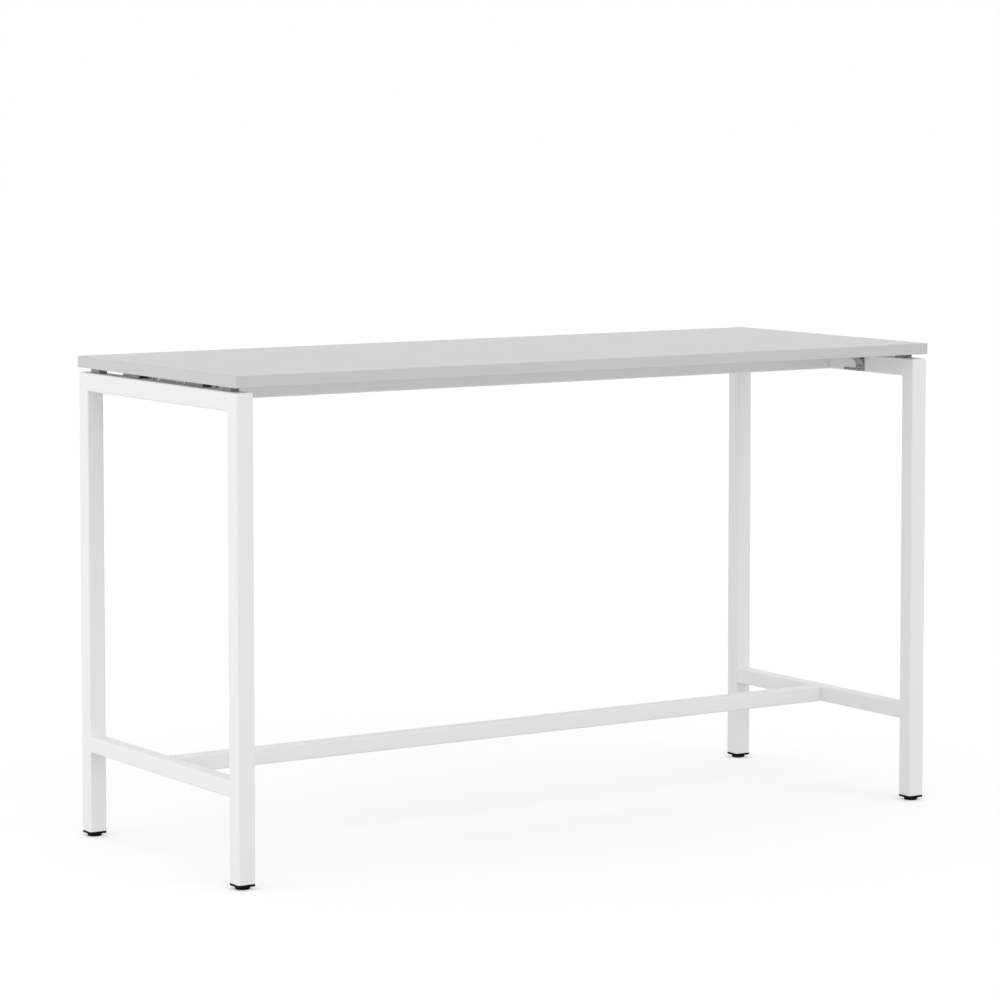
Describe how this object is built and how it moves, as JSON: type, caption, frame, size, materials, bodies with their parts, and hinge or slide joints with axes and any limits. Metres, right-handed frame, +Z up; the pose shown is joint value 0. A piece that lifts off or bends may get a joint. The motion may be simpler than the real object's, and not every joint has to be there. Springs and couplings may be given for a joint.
{
  "type": "standing meeting table",
  "caption": "Standing-height rectangular meeting table: laminated top on white square-tube end frames, with a foot stretcher, an under-top beam and screw-in levelling feet.",
  "frame": {"origin": "on the floor, under the middle of the table top", "axes": "+X along the table's length to its right end, +Y from the front to the rear, +Z up"},
  "size_m": [1.8, 0.7, 1.05],
  "materials": {
    "laminate": "matt pale grey melamine laminate on a chipboard core",
    "edge_band": "matt pale grey plastic edge band",
    "white_coat": "satin white powder coat on steel tube",
    "cast_grey": "matt grey cast metal",
    "grey_plastic": "matt grey moulded plastic",
    "zinc": "bright zinc-plated steel",
    "black_plastic": "matt black moulded plastic"
  },
  "bodies": {
    "table": {"top_panel": "laminate", "edge_band_front": "edge_band", "edge_band_rear": "edge_band", "edge_band_left": "edge_band", "edge_band_right": "edge_band", "leg_front_left": "white_coat", "leg_rear_left": "white_coat", "leg_front_right": "white_coat", "leg_rear_right": "white_coat", "top_rail_left": "white_coat", "top_rail_right": "white_coat", "crossbar_left": "white_coat", "crossbar_right": "white_coat", "stretcher": "white_coat", "stretcher_stub_left": "white_coat", "stretcher_stub_right": "white_coat", "stretcher_screw_left": "zinc", "stretcher_screw_right": "zinc", "beam": "white_coat", "beam_end_plate_left": "white_coat", "beam_end_plate_right": "white_coat", "beam_nut_plate_left": "zinc", "beam_nut_plate_right": "zinc", "beam_bolt_front_left": "zinc", "beam_bolt_rear_left": "zinc", "beam_bolt_front_right": "zinc", "beam_bolt_rear_right": "zinc", "top_spacer_front_left": "grey_plastic", "top_spacer_rear_left": "grey_plastic", "top_spacer_front_right": "grey_plastic", "top_spacer_rear_right": "grey_plastic", "spacer_screw_front_left": "zinc", "spacer_screw_rear_left": "zinc", "spacer_screw_front_right": "zinc", "spacer_screw_rear_right": "zinc", "top_bracket_front_left": "cast_grey", "top_bracket_rear_left": "cast_grey", "top_bracket_front_right": "cast_grey", "top_bracket_rear_right": "cast_grey", "bracket_top_screw_front_left": "zinc", "bracket_top_screw_rear_left": "zinc", "bracket_top_screw_front_right": "zinc", "bracket_top_screw_rear_right": "zinc", "bracket_rail_screw_front_left": "zinc", "bracket_rail_screw_rear_left": "zinc", "bracket_rail_screw_front_right": "zinc", "bracket_rail_screw_rear_right": "zinc", "foot_insert_front_left": "black_plastic", "foot_insert_rear_left": "black_plastic", "foot_insert_front_right": "black_plastic", "foot_insert_rear_right": "black_plastic"},
    "pad_front_left": {"foot_pad_front_left": "black_plastic"},
    "pad_rear_left": {"foot_pad_rear_left": "black_plastic"},
    "pad_front_right": {"foot_pad_front_right": "black_plastic"},
    "pad_rear_right": {"foot_pad_rear_right": "black_plastic"},
    "stem_front_left": {"foot_stem_front_left": "zinc"},
    "stem_rear_left": {"foot_stem_rear_left": "zinc"},
    "stem_front_right": {"foot_stem_front_right": "zinc"},
    "stem_rear_right": {"foot_stem_rear_right": "zinc"}
  },
  "joints": [
    {"name": "foot_slide_front_left", "type": "slide", "parent": "table", "child": "pad_front_left", "axis": [0, 0, -1], "range_m": [0, 0.015]},
    {"name": "foot_turn_front_left", "type": "hinge", "parent": "pad_front_left", "child": "stem_front_left", "pos_m": [-0.8785, -0.3285, 0.02], "axis": [0, 0, -1], "range_deg": [0, 3600]},
    {"name": "foot_slide_rear_left", "type": "slide", "parent": "table", "child": "pad_rear_left", "axis": [0, 0, -1], "range_m": [0, 0.015]},
    {"name": "foot_turn_rear_left", "type": "hinge", "parent": "pad_rear_left", "child": "stem_rear_left", "pos_m": [-0.8785, 0.3285, 0.02], "axis": [0, 0, -1], "range_deg": [0, 3600]},
    {"name": "foot_slide_front_right", "type": "slide", "parent": "table", "child": "pad_front_right", "axis": [0, 0, -1], "range_m": [0, 0.015]},
    {"name": "foot_turn_front_right", "type": "hinge", "parent": "pad_front_right", "child": "stem_front_right", "pos_m": [0.8785, -0.3285, 0.02], "axis": [0, 0, -1], "range_deg": [0, 3600]},
    {"name": "foot_slide_rear_right", "type": "slide", "parent": "table", "child": "pad_rear_right", "axis": [0, 0, -1], "range_m": [0, 0.015]},
    {"name": "foot_turn_rear_right", "type": "hinge", "parent": "pad_rear_right", "child": "stem_rear_right", "pos_m": [0.8785, 0.3285, 0.02], "axis": [0, 0, -1], "range_deg": [0, 3600]}
  ],
  "couplings": [
    {"joint": "foot_turn_front_left", "follows": "foot_slide_front_left", "rad_per_m": 4188.8},
    {"joint": "foot_turn_rear_left", "follows": "foot_slide_rear_left", "rad_per_m": 4188.8},
    {"joint": "foot_turn_front_right", "follows": "foot_slide_front_right", "rad_per_m": 4188.8},
    {"joint": "foot_turn_rear_right", "follows": "foot_slide_rear_right", "rad_per_m": 4188.8}
  ]
}
